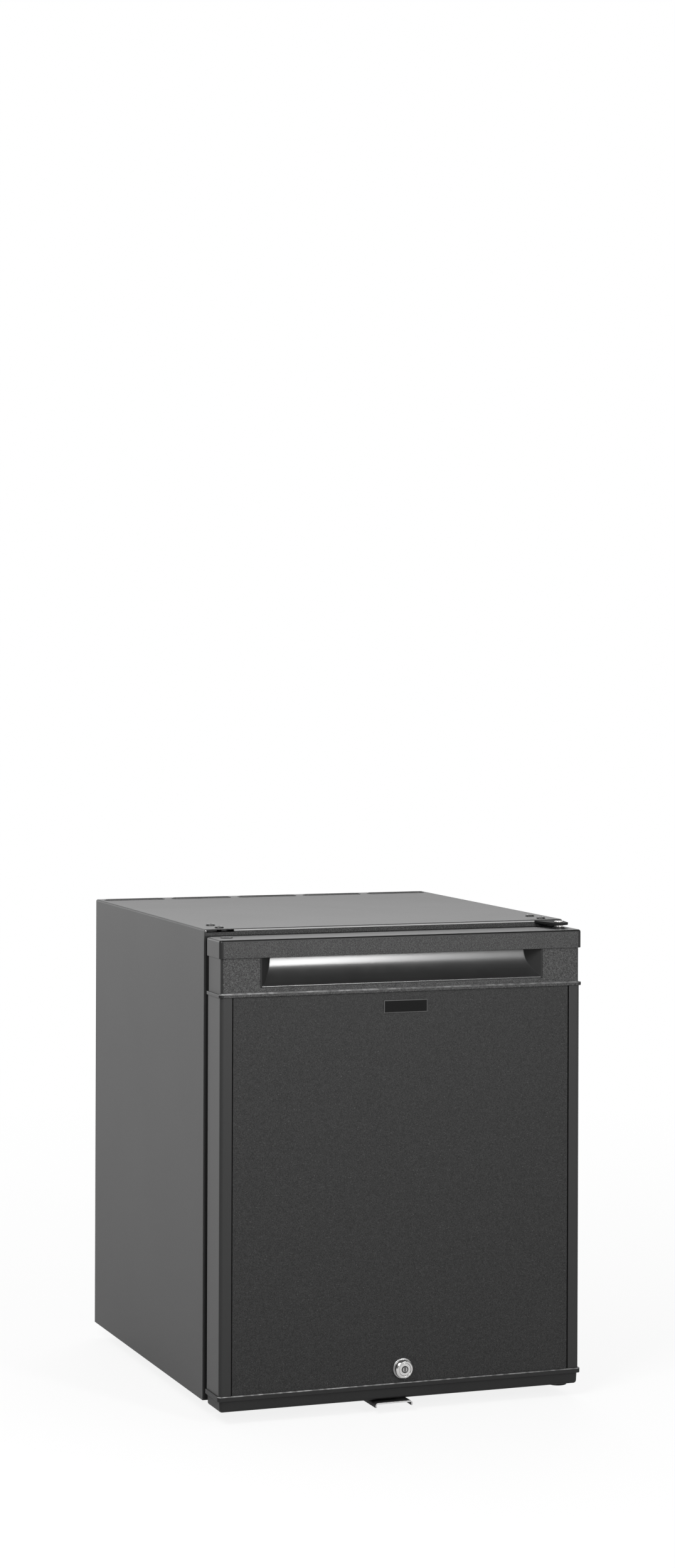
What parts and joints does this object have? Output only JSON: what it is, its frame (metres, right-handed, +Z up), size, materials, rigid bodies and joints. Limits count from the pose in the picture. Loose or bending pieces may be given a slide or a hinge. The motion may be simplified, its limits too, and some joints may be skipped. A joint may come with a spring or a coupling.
{
  "type": "minibar fridge",
  "caption": "Black hotel minibar: insulated cabinet on feet, right-hung door with scooped grip, cam lock, shelves and an absorption cooling unit at the back.",
  "frame": {"origin": "on the floor, under the middle of the object's box", "axes": "+Z up, the door faces -Y, +X to the right seen from the front"},
  "size_m": [0.402, 0.457, 0.5019],
  "materials": {
    "black_sheet": "satin",
    "strike_sheet": "satin",
    "zinc_sheet": "satin",
    "textured_black": "matte",
    "smooth_black": "satin",
    "polished_black": "gloss",
    "profile_black": "satin",
    "front_sheet": "satin",
    "pale_lining": "satin",
    "foam": "matte",
    "seal": "matte",
    "white_wire": "gloss",
    "fin_aluminium": "satin",
    "rack_plastic": "gloss",
    "lock_chrome": "polished",
    "zinc_steel": "satin",
    "black_screw": "satin",
    "unit_paint": "satin",
    "white_plastic": "satin",
    "lens_plastic": "satin",
    "knob_plastic": "satin",
    "foot_rubber": "matte",
    "plain_black_plastic": "satin"
  },
  "bodies": {
    "cabinet": {"outer_wrapper": "black_sheet", "upper_hinge_plate": "black_sheet", "lower_hinge_plate": "black_sheet", "hinge_backing_plate": "black_sheet", "strike_plate": "strike_sheet", "base_panel": "zinc_sheet", "back_panel": "zinc_sheet", "evaporator_cover": "zinc_sheet", "vessel_saddles": "zinc_sheet", "coil_bracket": "zinc_sheet", "generator_jacket": "zinc_sheet", "front_frame": "textured_black", "inner_liner": "pale_lining", "cabinet_insulation": "foam", "lower_shelf": "white_wire", "upper_shelf": "white_wire", "evaporator": "fin_aluminium", "condenser_fins": "fin_aluminium", "upper_hinge_pin": "zinc_steel", "lower_hinge_pin": "zinc_steel", "lower_hinge_screws": "zinc_steel", "strike_screws": "zinc_steel", "foot_screws": "zinc_steel", "heater_cartridge": "zinc_steel", "top_screws": "black_screw", "riser_tube": "unit_paint", "condenser_tube": "unit_paint", "absorber_coil": "unit_paint", "absorber_vessel": "unit_paint", "gas_return_tube": "unit_paint", "solution_tube": "unit_paint", "control_housing": "white_plastic", "drip_gutter": "white_plastic", "drain_tube": "white_plastic", "light_lens": "lens_plastic", "feet": "foot_rubber", "terminal_box": "plain_black_plastic", "power_inlet": "plain_black_plastic"},
    "door": {"door_panel": "front_sheet", "door_profile_left": "profile_black", "door_profile_right": "profile_black", "door_top_cap": "textured_black", "grip_shell": "polished_black", "door_bottom_cap": "smooth_black", "door_insulation": "foam", "door_liner": "pale_lining", "door_gasket": "seal", "lower_door_rack": "rack_plastic", "upper_door_rack": "rack_plastic", "upper_hinge_bush": "plain_black_plastic", "lower_hinge_bush": "plain_black_plastic", "hinge_hole_plugs": "plain_black_plastic", "lock_body": "lock_chrome", "lock_nut": "zinc_steel"},
    "lock_barrel": {"lock_plug": "lock_chrome", "lock_cam": "zinc_steel", "cam_screw": "zinc_steel"},
    "knob": {"thermostat_knob": "knob_plastic"}
  },
  "joints": [
    {"name": "door_swing", "type": "hinge", "parent": "cabinet", "child": "door", "pos_m": [0.1852, -0.1975, 0.2537], "axis": [0, 0, 1], "range_deg": [0, 110]},
    {"name": "lock_turn", "type": "hinge", "parent": "door", "child": "lock_barrel", "pos_m": [0, -0.2, 0.0454], "axis": [0, -1, 0], "range_deg": [0, 90]},
    {"name": "thermostat_turn", "type": "hinge", "parent": "cabinet", "child": "knob", "pos_m": [0.032, -0.1265, 0.449], "axis": [0, 1, 0], "range_deg": [0, 270]}
  ]
}
